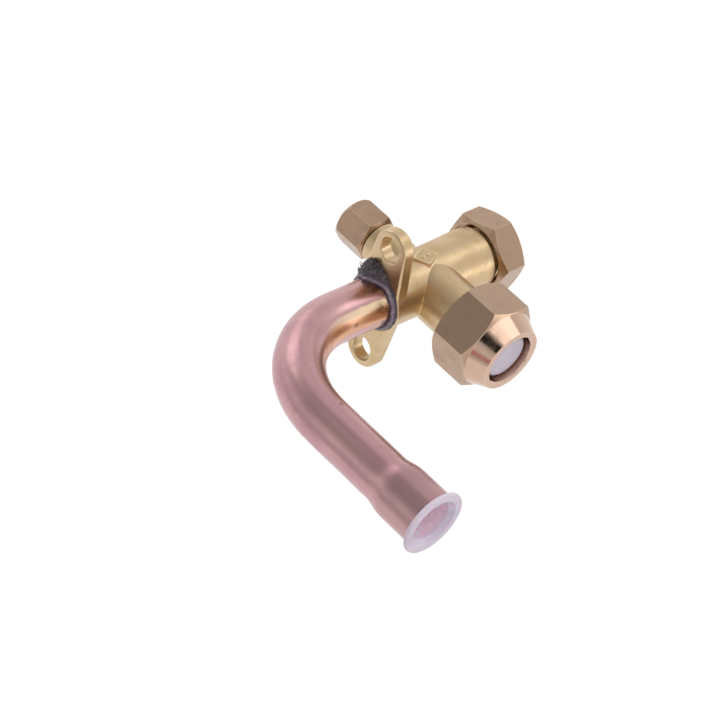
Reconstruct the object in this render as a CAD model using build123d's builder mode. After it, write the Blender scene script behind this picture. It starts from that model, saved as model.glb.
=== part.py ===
"""Three-way refrigerant service valve: forged brass cross, copper stub, stem, caps, nut and valve core.

Millimetres. The origin is the centre of the flange's mounting face, on the stem axis. +X runs along
the stem to its cap, -Y through the flare nut, +Y through the service cap, and +Z along the flange.
"""

from build123d import *

import os
from math import sqrt

# Copper stub: a 5/8 in line, bent at twice its diameter, with a socket swaged on the free end
tube_radius = 15.88 / 2
tube_wall = 1.0
tube_run = 16.4
tube_bend_radius = 2 * 15.88
tube_leg = 45.8
socket_radius = 9.0
socket_length = 14.5
socket_taper = 3.2

# Oval flange with a slotted hole in each lobe
flange_thickness = 4.4
flange_waist_radius = 8.6
flange_lobe_radius = 6.3
slot_spacing = 40.0
slot_width = 7.2
slot_length = 8.4
slot_edge = 0.4
forging_edge = 0.8

# Barrel along the stem axis
neck_radius = 9.65
barrel_radius = 10.15
barrel_end = 42.7
collar_round = 1.7
stem_neck_radius = 8.55
stem_neck_end = 48.9
thread_undercut = 0.8

# Cross ports, both on one axis through the barrel
port_x = 19.3
flare_boss_radius = 9.25
flare_boss_end = 18.5
flare_collar_radius = 10.6
flare_thread_radius = 10.0
flare_thread_start = 19.9
flare_thread_end = 30.9
flare_cone_start = 31.4
flare_cone_radius = 9.7
flare_tip_radius = 7.1
flare_bore_radius = 6.2
service_boss_radius = 6.6
service_boss_end = 20.2
service_thread_radius = 4.8
service_cone_start = 28.6
service_tip = 30.2
service_tip_radius = 3.2

# Bores along the stem axis
tube_seat_depth = 7.0
tube_seat_gap = 0.05
orifice_radius = 4.3
seat_start = 11.0
chamber_radius = 6.5
gland_start = 31.0
gland_radius = 7.0
circlip_start = 46.7
circlip_width = 1.0
circlip_groove_radius = 7.5

# Bores of the service port, down to the chamber
core_mouth_radius = 2.9
core_thread_top = 27.4
core_thread_radius = 2.67
core_taper_top = 22.4
core_taper_bottom = 20.9
core_bore_radius = 2.2
core_bore_bottom = 12.5
service_passage_radius = 1.6

# Stem
stem_clearance = 0.1
stem_tip_radius = 3.4
stem_head_radius = 5.85
stem_head_end = 14.2
stem_relief_radius = 5.2
stem_thread_start = 15.6
stem_thread_radius = 5.9
stem_land_radius = 6.95
stem_end = 38.6
ring_groove_start = 34.1
ring_groove_width = 2.0
ring_groove_radius = 5.4
ring_section_radius = 0.72
key_across_flats = 5.0
key_depth = 6.0

# Hexagons, given across their flats, and the way each one is turned at rest
nut_across_flats = 27.0
nut_turn = 48.0
stem_cap_across_flats = 24.0
stem_cap_turn = 45.0
service_cap_across_flats = 14.0
service_cap_turn = 58.0

# Raised pad on top of the barrel, left plain but for two small dots
pad_middle_x = 18.0
pad_length = 8.4
pad_width = 7.0
pad_top = 10.45
pad_dot_radius = 0.55
pad_dot_height = 0.3
pad_dot_spacing = 2.2
pad_draft = 15.0

# Flare nut
nut_back = 20.0
nut_nose_start = 34.6
nut_nose_end = 40.5
nut_nose_root_radius = 13.3
nut_nose_tip_radius = 10.65
nut_thread_radius = 11.15
nut_bore_radius = 8.3
nut_mouth = 0.35
nut_chamfer_radius = 13.1
chamfer_rise = 0.577

# Dust plug held between the two flare seats
plug_wall = 1.1
plug_face = 38.7
plug_radius = 7.7
plug_round = 1.4
plug_inner_radius = 6.5
plug_skirt_radius = 9.55

# Stem cap
stem_cap_start = 41.9
stem_cap_mouth_radius = 10.75
stem_cap_mouth_depth = 1.2
stem_cap_rim_radius = 11.1
stem_cap_thread_radius = 9.6
stem_cap_thread_end = 49.0
stem_cap_seat = 49.9
stem_cap_face_radius = 10.2
stem_cap_end = 52.6
stem_gasket_radius = 8.3
stem_gasket_bore = 6.0

# Service cap
service_cap_start = 20.4
service_cap_rim_radius = 6.2
service_cap_thread_radius = 5.6
service_cap_seat = 31.0
service_cap_dome_radius = 5.3
service_cap_end = 33.1
service_gasket_radius = 5.3
service_gasket_bore = 1.2

# Valve core
core_head_bottom = 23.6
core_head_top = 27.2
core_head_radius = 2.6
core_head_bore = 1.1
core_key_width = 1.5
core_key_depth = 1.4
core_barrel_bottom = 16.5
core_barrel_radius = 2.05
core_barrel_bore = 1.35
core_barrel_web = 1.5
core_barrel_hole = 0.8
core_pin_radius = 0.45
core_pin_bottom = 15.2
core_pin_top = 29.9
core_collar_radius = 1.2
core_collar_thickness = 0.4
core_cup_radius = 1.7
core_cup_bottom = 14.9
core_cup_top = 16.1
core_washer_thickness = 0.35
spring_wire_radius = 0.14
spring_coil_radius = 0.95
spring_coils = 6

# Circlip, copper plug and the joint round the tube
circlip_inner_radius = 6.15
circlip_thickness = 0.9
circlip_gap = 5.0
tube_plug_flange_radius = 10.7
tube_plug_flange = 1.2
tube_plug_round = 0.5
tube_plug_mouth_radius = 8.1
tube_plug_mouth_depth = 1.6
tube_plug_depth = 12.0
tube_plug_wall = 1.1
tube_plug_floor = 7.0
tube_plug_clearance = 0.1
braze_leg = 1.5
crust_radius = 9.5
crust_length = 2.6
lump_length = 5.6
lump_radius = 12.6
lump_shoulder_radius = 10.6
lump_start_angle = 22.0
lump_angle = 74.0

# Running gap between neighbours
fine_gap = 0.05

port_axis = Axis((port_x, 0, 0), (0, 1, 0))
flare_plane = Plane(origin=(port_x, 0, 0), x_dir=(1, 0, 0), z_dir=(0, -1, 0))
service_plane = Plane(origin=(port_x, 0, 0), x_dir=(-1, 0, 0), z_dir=(0, 1, 0))
tube_leg_x = -(tube_run + tube_bend_radius)
tube_end = -(tube_bend_radius + tube_leg)
leg_axis = Axis((tube_leg_x, 0, 0), (0, 1, 0))
swage_start = tube_end + socket_length + socket_taper
flare_tip = flare_cone_start + flare_cone_radius - flare_tip_radius
body_seat = flare_cone_start + flare_cone_radius
nut_seat = body_seat + plug_wall * sqrt(2)
cosine_30 = sqrt(3) / 2
FLARE_SIDE = -1
SERVICE_SIDE = 1


def closed_outline(points):
    """Return a face in the XY plane whose outline runs straight from point to point."""
    with BuildSketch(Plane.XY) as outline:
        with BuildLine():
            Polyline(*points, close=True)
        make_face()
    return outline.sketch


def stem_section(*points):
    """Return a half section about the stem axis, from (distance along X, radius) pairs."""
    return closed_outline(points)


def port_section(side, *points):
    """Return a half section about the port axis, from (radius, distance out from the stem axis)."""
    return closed_outline([(port_x + radius, side * reach) for radius, reach in points])


def leg_section(*points):
    """Return a half section about the tube's free leg, from (radius, place along Y) pairs."""
    return closed_outline([(tube_leg_x + radius, place) for radius, place in points])


def hexagon(plane, across_flats, turn):
    """Return a hexagon on a plane, turned by an angle in degrees."""
    with BuildSketch(plane) as outline:
        RegularPolygon(across_flats / 2, 6, major_radius=False, rotation=turn)
    return outline.sketch


def is_circle_over(edge, radius):
    """Tell whether an edge is round and wider than a radius."""
    return edge.geom_type == GeomType.CIRCLE and edge.radius > radius


def is_slot_edge(edge):
    """Tell whether an edge belongs to the rim of one of the flange's slots."""
    middle = edge.center()
    across = abs(middle.Y)
    along = abs(abs(middle.Z) - slot_spacing / 2)
    return across < slot_width / 2 + slot_edge and along < slot_length / 2 + slot_edge


def save(piece, name):
    """Label a finished piece and write it as a STEP file of its own."""
    piece.part.label = name
    export_step(piece.part, f"parts/{name}.step")


os.makedirs("parts", exist_ok=True)

# ---------------------------------------------------------------- forged body
with BuildPart() as valve_body:
    with BuildSketch(Plane.YZ):
        Circle(flange_waist_radius)
        with GridLocations(0, slot_spacing, 1, 2):
            Circle(flange_lobe_radius)
        make_hull()
        Circle(neck_radius)
    extrude(amount=flange_thickness)
    fillet(valve_body.edges().filter_by(Plane.YZ), forging_edge)

    # Neck and barrel swell a little towards the stem end, where a round collar closes them
    undercut_radius = stem_neck_radius - thread_undercut / 4
    revolve(
        stem_section(
            (flange_thickness / 2, 0),
            (flange_thickness / 2, neck_radius),
            (barrel_end, barrel_radius),
            (barrel_end, undercut_radius),
            (barrel_end + thread_undercut, undercut_radius),
            (barrel_end + thread_undercut, stem_neck_radius),
            (stem_neck_end - thread_undercut / 2, stem_neck_radius),
            (stem_neck_end, stem_neck_radius - thread_undercut / 2),
            (stem_neck_end, 0),
        ),
        axis=Axis.X,
    )
    wide_circles = valve_body.edges().filter_by(lambda edge: is_circle_over(edge, neck_radius))
    fillet(wide_circles.sort_by(Axis.X)[-1], collar_round)

    # Flare boss, its collar, the root of its thread and its 45 degree seat
    revolve(
        port_section(
            FLARE_SIDE,
            (0, 0),
            (flare_boss_radius, 0),
            (flare_boss_radius, flare_boss_end),
            (flare_collar_radius, flare_thread_start - forging_edge / 2),
            (flare_collar_radius, flare_thread_start),
            (flare_thread_radius, flare_thread_start + forging_edge / 2),
            (flare_thread_radius, flare_thread_end),
            (flare_cone_radius, flare_cone_start),
            (flare_tip_radius, flare_tip),
            (0, flare_tip),
        ),
        axis=port_axis,
    )

    # Service boss, the root of its thread and its 45 degree seat
    revolve(
        port_section(
            SERVICE_SIDE,
            (0, 0),
            (service_boss_radius, 0),
            (service_boss_radius, service_boss_end - forging_edge / 2),
            (service_boss_radius - forging_edge / 2, service_boss_end),
            (service_thread_radius, service_boss_end),
            (service_thread_radius, service_cone_start),
            (service_tip_radius, service_tip),
            (0, service_tip),
        ),
        axis=port_axis,
    )

    # Plain pad on top, where the forging's mark would stand
    with BuildSketch(Plane.XY.offset(pad_top)) as pad_outline:
        with Locations((pad_middle_x, 0)):
            Polygon(
                (-pad_length / 2, pad_width / 6),
                (pad_length / 6, pad_width / 2),
                (pad_length / 2, -pad_width / 6),
                (-pad_length / 6, -pad_width / 2),
            )
    extrude(amount=-neck_radius, taper=-pad_draft)
    with BuildSketch(Plane.XY.offset(pad_top)):
        with Locations((pad_middle_x, 0)):
            with GridLocations(pad_dot_spacing, 0, 2, 1):
                Circle(pad_dot_radius)
    extrude(amount=pad_dot_height, taper=pad_draft)

    # Slotted mounting holes with eased rims
    with BuildSketch(Plane.YZ):
        with GridLocations(0, slot_spacing, 1, 2):
            SlotOverall(slot_length, slot_width, rotation=90)
    extrude(amount=flange_thickness, mode=Mode.SUBTRACT)
    across_stem = valve_body.faces().filter_by(Axis.X)
    flange_faces = across_stem.filter_by(lambda face: face.center().X < seat_start)
    fillet(flange_faces.edges().filter_by(is_slot_edge), slot_edge)

    # Tube socket, orifice, seat, chamber and gland, bored from both ends of the stem axis
    revolve(
        stem_section(
            (0, 0),
            (0, tube_radius + tube_seat_gap),
            (tube_seat_depth, tube_radius + tube_seat_gap),
            (tube_seat_depth, orifice_radius),
            (seat_start, orifice_radius),
            (seat_start + chamber_radius - orifice_radius, chamber_radius),
            (gland_start, chamber_radius),
            (gland_start, gland_radius),
            (circlip_start, gland_radius),
            (circlip_start, circlip_groove_radius),
            (circlip_start + circlip_width, circlip_groove_radius),
            (circlip_start + circlip_width, gland_radius),
            (stem_neck_end, gland_radius),
            (stem_neck_end, 0),
        ),
        axis=Axis.X,
        mode=Mode.SUBTRACT,
    )
    revolve(
        port_section(
            FLARE_SIDE,
            (0, 0),
            (flare_bore_radius, 0),
            (flare_bore_radius, flare_tip),
            (0, flare_tip),
        ),
        axis=port_axis,
        mode=Mode.SUBTRACT,
    )
    revolve(
        port_section(
            SERVICE_SIDE,
            (0, 0),
            (service_passage_radius, 0),
            (service_passage_radius, core_bore_bottom),
            (core_bore_radius, core_bore_bottom),
            (core_bore_radius, core_taper_bottom),
            (core_thread_radius, core_taper_top),
            (core_thread_radius, core_thread_top),
            (core_mouth_radius, core_thread_top + core_mouth_radius - core_thread_radius),
            (core_mouth_radius, service_tip),
            (0, service_tip),
        ),
        axis=port_axis,
        mode=Mode.SUBTRACT,
    )
save(valve_body, "valve_body")

# ---------------------------------------------------------------- stem and what holds it
with BuildPart() as stem:
    seat_offset = seat_start - orifice_radius + stem_clearance
    revolve(
        stem_section(
            (seat_offset + stem_tip_radius, 0),
            (seat_offset + stem_tip_radius, stem_tip_radius),
            (seat_offset + stem_head_radius, stem_head_radius),
            (stem_head_end, stem_head_radius),
            (stem_head_end, stem_relief_radius),
            (stem_thread_start, stem_relief_radius),
            (stem_thread_start, stem_thread_radius),
            (gland_start + stem_clearance, stem_thread_radius),
            (gland_start + stem_clearance, stem_land_radius),
            (ring_groove_start, stem_land_radius),
            (ring_groove_start, ring_groove_radius),
            (ring_groove_start + ring_groove_width, ring_groove_radius),
            (ring_groove_start + ring_groove_width, stem_land_radius),
            (stem_end - forging_edge, stem_land_radius),
            (stem_end, stem_land_radius - forging_edge),
            (stem_end, 0),
        ),
        axis=Axis.X,
    )
    extrude(hexagon(Plane.YZ.offset(stem_end), key_across_flats, 0), amount=-key_depth, mode=Mode.SUBTRACT)
save(stem, "stem")

with BuildPart() as stem_o_ring:
    with BuildSketch(Plane.XY):
        with Locations((ring_groove_start + ring_groove_width / 2, (gland_radius + ring_groove_radius) / 2)):
            Circle(ring_section_radius)
    revolve(axis=Axis.X)
save(stem_o_ring, "stem_o_ring")

with BuildPart() as stem_circlip:
    with BuildSketch(Plane.YZ.offset(circlip_start + fine_gap)):
        Circle(circlip_groove_radius - fine_gap)
        Circle(circlip_inner_radius, mode=Mode.SUBTRACT)
        with Locations((0, circlip_groove_radius)):
            Rectangle(circlip_gap, circlip_groove_radius, mode=Mode.SUBTRACT)
    extrude(amount=circlip_thickness)
save(stem_circlip, "stem_circlip")

with BuildPart() as stem_cap_gasket:
    with BuildSketch(Plane.YZ.offset(stem_neck_end)):
        Circle(stem_gasket_radius)
        Circle(stem_gasket_bore, mode=Mode.SUBTRACT)
    extrude(amount=stem_cap_seat - stem_neck_end)
save(stem_cap_gasket, "stem_cap_gasket")

with BuildPart() as stem_cap:
    cap_blank = hexagon(Plane.YZ.offset(stem_cap_start), stem_cap_across_flats, stem_cap_turn)
    extrude(cap_blank, amount=stem_cap_end - stem_cap_start)
    # The open end is chamfered from the rim out to the corners, and the closed end to a flat face
    corner = stem_cap_across_flats / 2 / cosine_30 + fine_gap
    revolve(
        stem_section(
            (stem_cap_start, 0),
            (stem_cap_start, stem_cap_rim_radius),
            (stem_cap_start + (corner - stem_cap_rim_radius) * chamfer_rise, corner),
            (stem_cap_end - (corner - stem_cap_face_radius) * chamfer_rise, corner),
            (stem_cap_end, stem_cap_face_radius),
            (stem_cap_end, 0),
        ),
        axis=Axis.X,
        mode=Mode.INTERSECT,
    )
    revolve(
        stem_section(
            (stem_cap_start, 0),
            (stem_cap_start, stem_cap_mouth_radius),
            (stem_cap_start + stem_cap_mouth_depth, stem_cap_mouth_radius),
            (stem_cap_start + stem_cap_mouth_depth, stem_cap_thread_radius),
            (stem_cap_thread_end, stem_cap_thread_radius),
            (stem_cap_thread_end, stem_gasket_radius + fine_gap),
            (stem_cap_seat, stem_gasket_radius + fine_gap),
            (stem_cap_seat, 0),
        ),
        axis=Axis.X,
        mode=Mode.SUBTRACT,
    )
save(stem_cap, "stem_cap")

# ---------------------------------------------------------------- flare nut and its dust plug
with BuildPart() as flare_nut:
    nut_blank = hexagon(flare_plane.offset(nut_back), nut_across_flats, nut_turn)
    extrude(nut_blank, amount=nut_nose_end - nut_back)
    nut_corner = nut_across_flats / 2 / cosine_30 + fine_gap
    nut_corner_end = nut_nose_start - (nut_corner - nut_nose_root_radius) * chamfer_rise
    revolve(
        port_section(
            FLARE_SIDE,
            (0, nut_back),
            (nut_chamfer_radius, nut_back),
            (nut_corner, nut_back + (nut_corner - nut_chamfer_radius) * chamfer_rise),
            (nut_corner, nut_corner_end),
            (nut_nose_root_radius, nut_nose_start),
            (nut_nose_tip_radius, nut_nose_end),
            (0, nut_nose_end),
        ),
        axis=port_axis,
        mode=Mode.INTERSECT,
    )
    revolve(
        port_section(
            FLARE_SIDE,
            (0, nut_back),
            (nut_thread_radius, nut_back),
            (nut_thread_radius, nut_seat - nut_thread_radius),
            (nut_bore_radius, nut_seat - nut_bore_radius),
            (nut_bore_radius, nut_nose_end - nut_mouth),
            (nut_bore_radius + nut_mouth, nut_nose_end),
            (0, nut_nose_end),
        ),
        axis=port_axis,
        mode=Mode.SUBTRACT,
    )
save(flare_nut, "flare_nut")

with BuildPart() as flare_plug:
    outer_seat = nut_seat - 2 * fine_gap
    inner_seat = body_seat + 2 * fine_gap
    revolve(
        port_section(
            FLARE_SIDE,
            (plug_skirt_radius, inner_seat - plug_skirt_radius),
            (plug_skirt_radius, outer_seat - plug_skirt_radius),
            (plug_radius, outer_seat - plug_radius),
            (plug_radius, plug_face),
            (0, plug_face),
            (0, plug_face - plug_wall),
            (plug_inner_radius, plug_face - plug_wall),
            (plug_inner_radius, inner_seat - plug_inner_radius),
        ),
        axis=port_axis,
    )
    plug_rim = flare_plug.edges().filter_by(GeomType.CIRCLE).sort_by(Axis.Y)[0]
    fillet(plug_rim, plug_round)
save(flare_plug, "flare_plug")

# ---------------------------------------------------------------- service cap
with BuildPart() as service_cap:
    cap_plane = service_plane.offset(service_cap_start)
    service_blank = hexagon(cap_plane, service_cap_across_flats, service_cap_turn)
    extrude(service_blank, amount=service_cap_end - service_cap_start)
    service_corner = service_cap_across_flats / 2 / cosine_30 + fine_gap
    service_dome = service_corner - service_cap_dome_radius
    revolve(
        port_section(
            SERVICE_SIDE,
            (0, service_cap_start),
            (service_cap_rim_radius, service_cap_start),
            (service_corner, service_cap_start + (service_corner - service_cap_rim_radius) * chamfer_rise),
            (service_corner, service_cap_end - service_dome),
            (service_corner - service_dome / 4, service_cap_end - service_dome / 2),
            (service_cap_dome_radius, service_cap_end),
            (0, service_cap_end),
        ),
        axis=port_axis,
        mode=Mode.INTERSECT,
    )
    revolve(
        port_section(
            SERVICE_SIDE,
            (0, service_cap_start),
            (service_cap_thread_radius, service_cap_start),
            (service_cap_thread_radius, service_tip - forging_edge),
            (service_gasket_radius + fine_gap, service_tip - forging_edge),
            (service_gasket_radius + fine_gap, service_cap_seat),
            (0, service_cap_seat),
        ),
        axis=port_axis,
        mode=Mode.SUBTRACT,
    )
save(service_cap, "service_cap")

with BuildPart() as service_cap_gasket:
    with BuildSketch(service_plane.offset(service_tip)):
        Circle(service_gasket_radius)
        Circle(service_gasket_bore, mode=Mode.SUBTRACT)
    extrude(amount=service_cap_seat - service_tip)
save(service_cap_gasket, "service_cap_gasket")

# ---------------------------------------------------------------- valve core
with BuildPart() as core_head:
    with BuildSketch(service_plane.offset(core_head_bottom)):
        Circle(core_head_radius)
        Circle(core_head_bore, mode=Mode.SUBTRACT)
    extrude(amount=core_head_top - core_head_bottom)
    # Two flats on the end take the core key
    with BuildSketch(service_plane.offset(core_head_top)):
        with GridLocations(core_key_width + 2 * core_head_radius, 0, 2, 1):
            Rectangle(2 * core_head_radius, 2 * core_head_radius)
    extrude(amount=-core_key_depth, mode=Mode.SUBTRACT)
save(core_head, "core_head")

with BuildPart() as core_barrel:
    revolve(
        port_section(
            SERVICE_SIDE,
            (core_barrel_hole, core_barrel_bottom),
            (core_barrel_radius, core_barrel_bottom),
            (core_barrel_radius, core_head_bottom),
            (core_barrel_bore, core_head_bottom),
            (core_barrel_bore, core_barrel_bottom + core_barrel_web),
            (core_barrel_hole, core_barrel_bottom + core_barrel_web),
        ),
        axis=port_axis,
    )
save(core_barrel, "core_barrel")

with BuildPart() as core_barrel_seal:
    revolve(
        port_section(
            SERVICE_SIDE,
            (core_barrel_radius, core_taper_bottom),
            (core_bore_radius - fine_gap, core_taper_bottom),
            (core_thread_radius - fine_gap, core_taper_top),
            (core_barrel_radius, core_taper_top),
        ),
        axis=port_axis,
    )
save(core_barrel_seal, "core_barrel_seal")

with BuildPart() as core_pin:
    collar_top = core_head_bottom - fine_gap
    revolve(
        port_section(
            SERVICE_SIDE,
            (0, core_pin_bottom),
            (core_pin_radius, core_pin_bottom),
            (core_pin_radius, collar_top - core_collar_thickness),
            (core_collar_radius, collar_top - core_collar_thickness),
            (core_collar_radius, collar_top),
            (core_pin_radius, collar_top),
            (core_pin_radius, core_pin_top),
            (0, core_pin_top),
        ),
        axis=port_axis,
    )
save(core_pin, "core_pin")

with BuildPart() as core_spring:
    spring_bottom = core_barrel_bottom + core_barrel_web + spring_wire_radius + fine_gap
    spring_top = core_head_bottom - core_collar_thickness - spring_wire_radius - 2 * fine_gap
    spring_height = spring_top - spring_bottom
    spring_foot = (port_x, spring_bottom, 0)
    with BuildLine() as coil:
        Helix(spring_height / spring_coils, spring_height, spring_coil_radius, spring_foot, (0, 1, 0))
    with BuildSketch(Plane(origin=coil.line @ 0, z_dir=coil.line % 0)):
        RegularPolygon(spring_wire_radius, 8)
    sweep()
save(core_spring, "core_spring")

with BuildPart() as core_cup:
    revolve(
        port_section(
            SERVICE_SIDE,
            (0, core_cup_bottom),
            (core_cup_radius - core_washer_thickness, core_cup_bottom),
            (core_cup_radius, core_pin_bottom),
            (core_cup_radius, core_cup_top),
            (core_pin_radius, core_cup_top),
            (core_pin_radius, core_pin_bottom),
            (0, core_pin_bottom),
        ),
        axis=port_axis,
    )
save(core_cup, "core_cup")

with BuildPart() as core_washer:
    with BuildSketch(service_plane.offset(core_cup_top)):
        Circle(core_cup_radius - fine_gap)
        Circle(core_pin_radius, mode=Mode.SUBTRACT)
    extrude(amount=core_washer_thickness)
save(core_washer, "core_washer")

# ---------------------------------------------------------------- copper stub and its joint
with BuildPart() as copper_tube:
    with BuildLine():
        run_in = Line((tube_seat_depth, 0), (-tube_run, 0))
        bend = JernArc(run_in @ 1, run_in % 1, tube_bend_radius, 90)
        Line(bend @ 1, (tube_leg_x, swage_start))
    with BuildSketch(Plane.YZ.offset(tube_seat_depth)):
        Circle(tube_radius)
        Circle(tube_radius - tube_wall, mode=Mode.SUBTRACT)
    sweep()
    # The free end is swaged out to take another tube of the same size
    revolve(
        leg_section(
            (tube_radius - tube_wall, swage_start),
            (tube_radius, swage_start),
            (socket_radius, swage_start - socket_taper),
            (socket_radius, tube_end),
            (socket_radius - tube_wall, tube_end),
            (socket_radius - tube_wall, swage_start - socket_taper),
        ),
        axis=leg_axis,
    )
save(copper_tube, "copper_tube")

with BuildPart() as braze_ring:
    bore = tube_radius + fine_gap
    revolve(stem_section((0, bore), (-braze_leg, bore), (0, bore + braze_leg)), axis=Axis.X)
save(braze_ring, "braze_ring")

with BuildPart() as flux_crust:
    # Burnt flux lies over the braze and stands up in a lump beside the service port
    revolve(
        stem_section(
            (0, bore + braze_leg),
            (-braze_leg, bore),
            (-crust_length, bore),
            (-crust_length / 2, crust_radius),
            (0, crust_radius),
        ),
        axis=Axis.X,
    )
    lump = stem_section(
        (0, crust_radius - fine_gap),
        (-crust_length / 2, crust_radius - fine_gap),
        (-crust_length, bore),
        (-lump_length, bore),
        (-lump_length / 2, lump_shoulder_radius),
        (0, lump_radius),
    )
    revolve(lump.rotate(Axis.X, lump_start_angle), axis=Axis.X, revolution_arc=lump_angle)
save(flux_crust, "flux_crust")

with BuildPart() as tube_plug:
    plug_outer = socket_radius - tube_wall - tube_plug_clearance
    revolve(
        leg_section(
            (0, tube_end + tube_plug_floor),
            (0, tube_end + tube_plug_floor + tube_plug_wall),
            (plug_outer - tube_plug_wall, tube_end + tube_plug_floor + tube_plug_wall),
            (plug_outer - tube_plug_wall, tube_end + tube_plug_depth),
            (plug_outer - tube_plug_wall / 2, tube_end + tube_plug_depth),
            (plug_outer, tube_end + tube_plug_depth - tube_plug_wall),
            (plug_outer, tube_end),
            (tube_plug_flange_radius, tube_end),
            (tube_plug_flange_radius, tube_end - tube_plug_flange),
            (tube_plug_mouth_radius, tube_end - tube_plug_flange),
            (plug_outer - tube_plug_wall, tube_end - tube_plug_flange + tube_plug_mouth_depth),
            (plug_outer - tube_plug_wall, tube_end + tube_plug_floor),
        ),
        axis=leg_axis,
    )
    plug_rims = tube_plug.edges().filter_by(lambda edge: is_circle_over(edge, socket_radius))
    fillet(plug_rims, tube_plug_round)
save(tube_plug, "tube_plug")
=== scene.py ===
"""Looks of a three-way refrigerant service valve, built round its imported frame.

Lengths are metres. The origin is the centre of the flange's mounting face. +X runs along the stem to
its cap, -Y through the flare nut, +Y through the charging port and +Z along the flange.
"""

import logging
import math
import random
from dataclasses import dataclass
from enum import Enum
from typing import Optional, Sequence, Union

import bmesh
import bpy
from mathutils import Matrix, Vector, noise as solid_noise


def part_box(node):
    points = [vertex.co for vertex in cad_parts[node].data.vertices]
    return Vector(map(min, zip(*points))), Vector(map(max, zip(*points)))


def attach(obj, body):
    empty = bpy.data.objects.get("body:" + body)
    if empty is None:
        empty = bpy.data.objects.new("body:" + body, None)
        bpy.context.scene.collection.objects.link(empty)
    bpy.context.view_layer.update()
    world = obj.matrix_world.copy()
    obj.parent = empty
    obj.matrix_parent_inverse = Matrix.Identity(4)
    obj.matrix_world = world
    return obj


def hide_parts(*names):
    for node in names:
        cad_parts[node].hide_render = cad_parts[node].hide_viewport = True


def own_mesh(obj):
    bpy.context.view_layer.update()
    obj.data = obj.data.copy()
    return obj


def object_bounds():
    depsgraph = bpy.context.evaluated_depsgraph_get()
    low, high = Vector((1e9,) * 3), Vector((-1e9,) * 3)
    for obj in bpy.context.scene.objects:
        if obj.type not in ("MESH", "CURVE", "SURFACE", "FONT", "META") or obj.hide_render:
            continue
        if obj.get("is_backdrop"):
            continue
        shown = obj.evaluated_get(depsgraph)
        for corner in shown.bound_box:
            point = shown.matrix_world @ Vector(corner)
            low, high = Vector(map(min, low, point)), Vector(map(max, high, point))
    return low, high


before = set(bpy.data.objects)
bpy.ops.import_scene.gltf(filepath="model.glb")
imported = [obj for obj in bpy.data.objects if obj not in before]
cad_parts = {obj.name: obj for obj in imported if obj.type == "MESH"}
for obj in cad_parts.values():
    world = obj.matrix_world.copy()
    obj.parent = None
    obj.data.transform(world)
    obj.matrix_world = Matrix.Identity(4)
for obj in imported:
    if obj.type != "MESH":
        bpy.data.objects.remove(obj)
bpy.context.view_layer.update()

MM = 0.001
INCH = 25.4
TAU = 2.0 * math.pi
QUARTER = TAU / 4.0
WHITE = (1.0, 1.0, 1.0)
Colour = tuple[float, float, float]
Range = tuple[float, float]
Face = Sequence[int]
Node = bpy.types.Node
Socket = bpy.types.NodeSocket
Tree = bpy.types.NodeTree
Value = Union[float, int, str, Sequence[float], Socket]
log = logging.getLogger("service_valve")


class Side(Enum):
    """The way a screwed end points, with two directions across it that make a right-handed set."""

    STEM = (Vector((1, 0, 0)), Vector((0, 1, 0)), Vector((0, 0, 1)))
    FLARE = (Vector((0, -1, 0)), Vector((1, 0, 0)), Vector((0, 0, 1)))
    CHARGING = (Vector((0, 1, 0)), Vector((-1, 0, 0)), Vector((0, 0, 1)))

    def point(self, origin: Vector, reach: float, radius: float, angle: float) -> Vector:
        """Return the point at a reach along the axis, a radius from it and an angle round it.

        Args:
            origin: A point on the axis, from which reach is measured.
            reach: Distance along the axis.
            radius: Distance from the axis.
            angle: Angle round the axis, right-handed, in radians.

        Returns:
            The point in the object's frame.
        """
        along, across, up = self.value
        return origin + along * reach + (across * math.cos(angle) + up * math.sin(angle)) * radius


class Pitch(Enum):
    """Lead of each thread, in metres a turn."""

    STEM = 1.0 * MM
    STEM_CAP = INCH / 16 * MM
    FLARE = INCH / 14 * MM
    CHARGING = INCH / 20 * MM


# ------------------------------------------------------------------ node graphs


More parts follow.
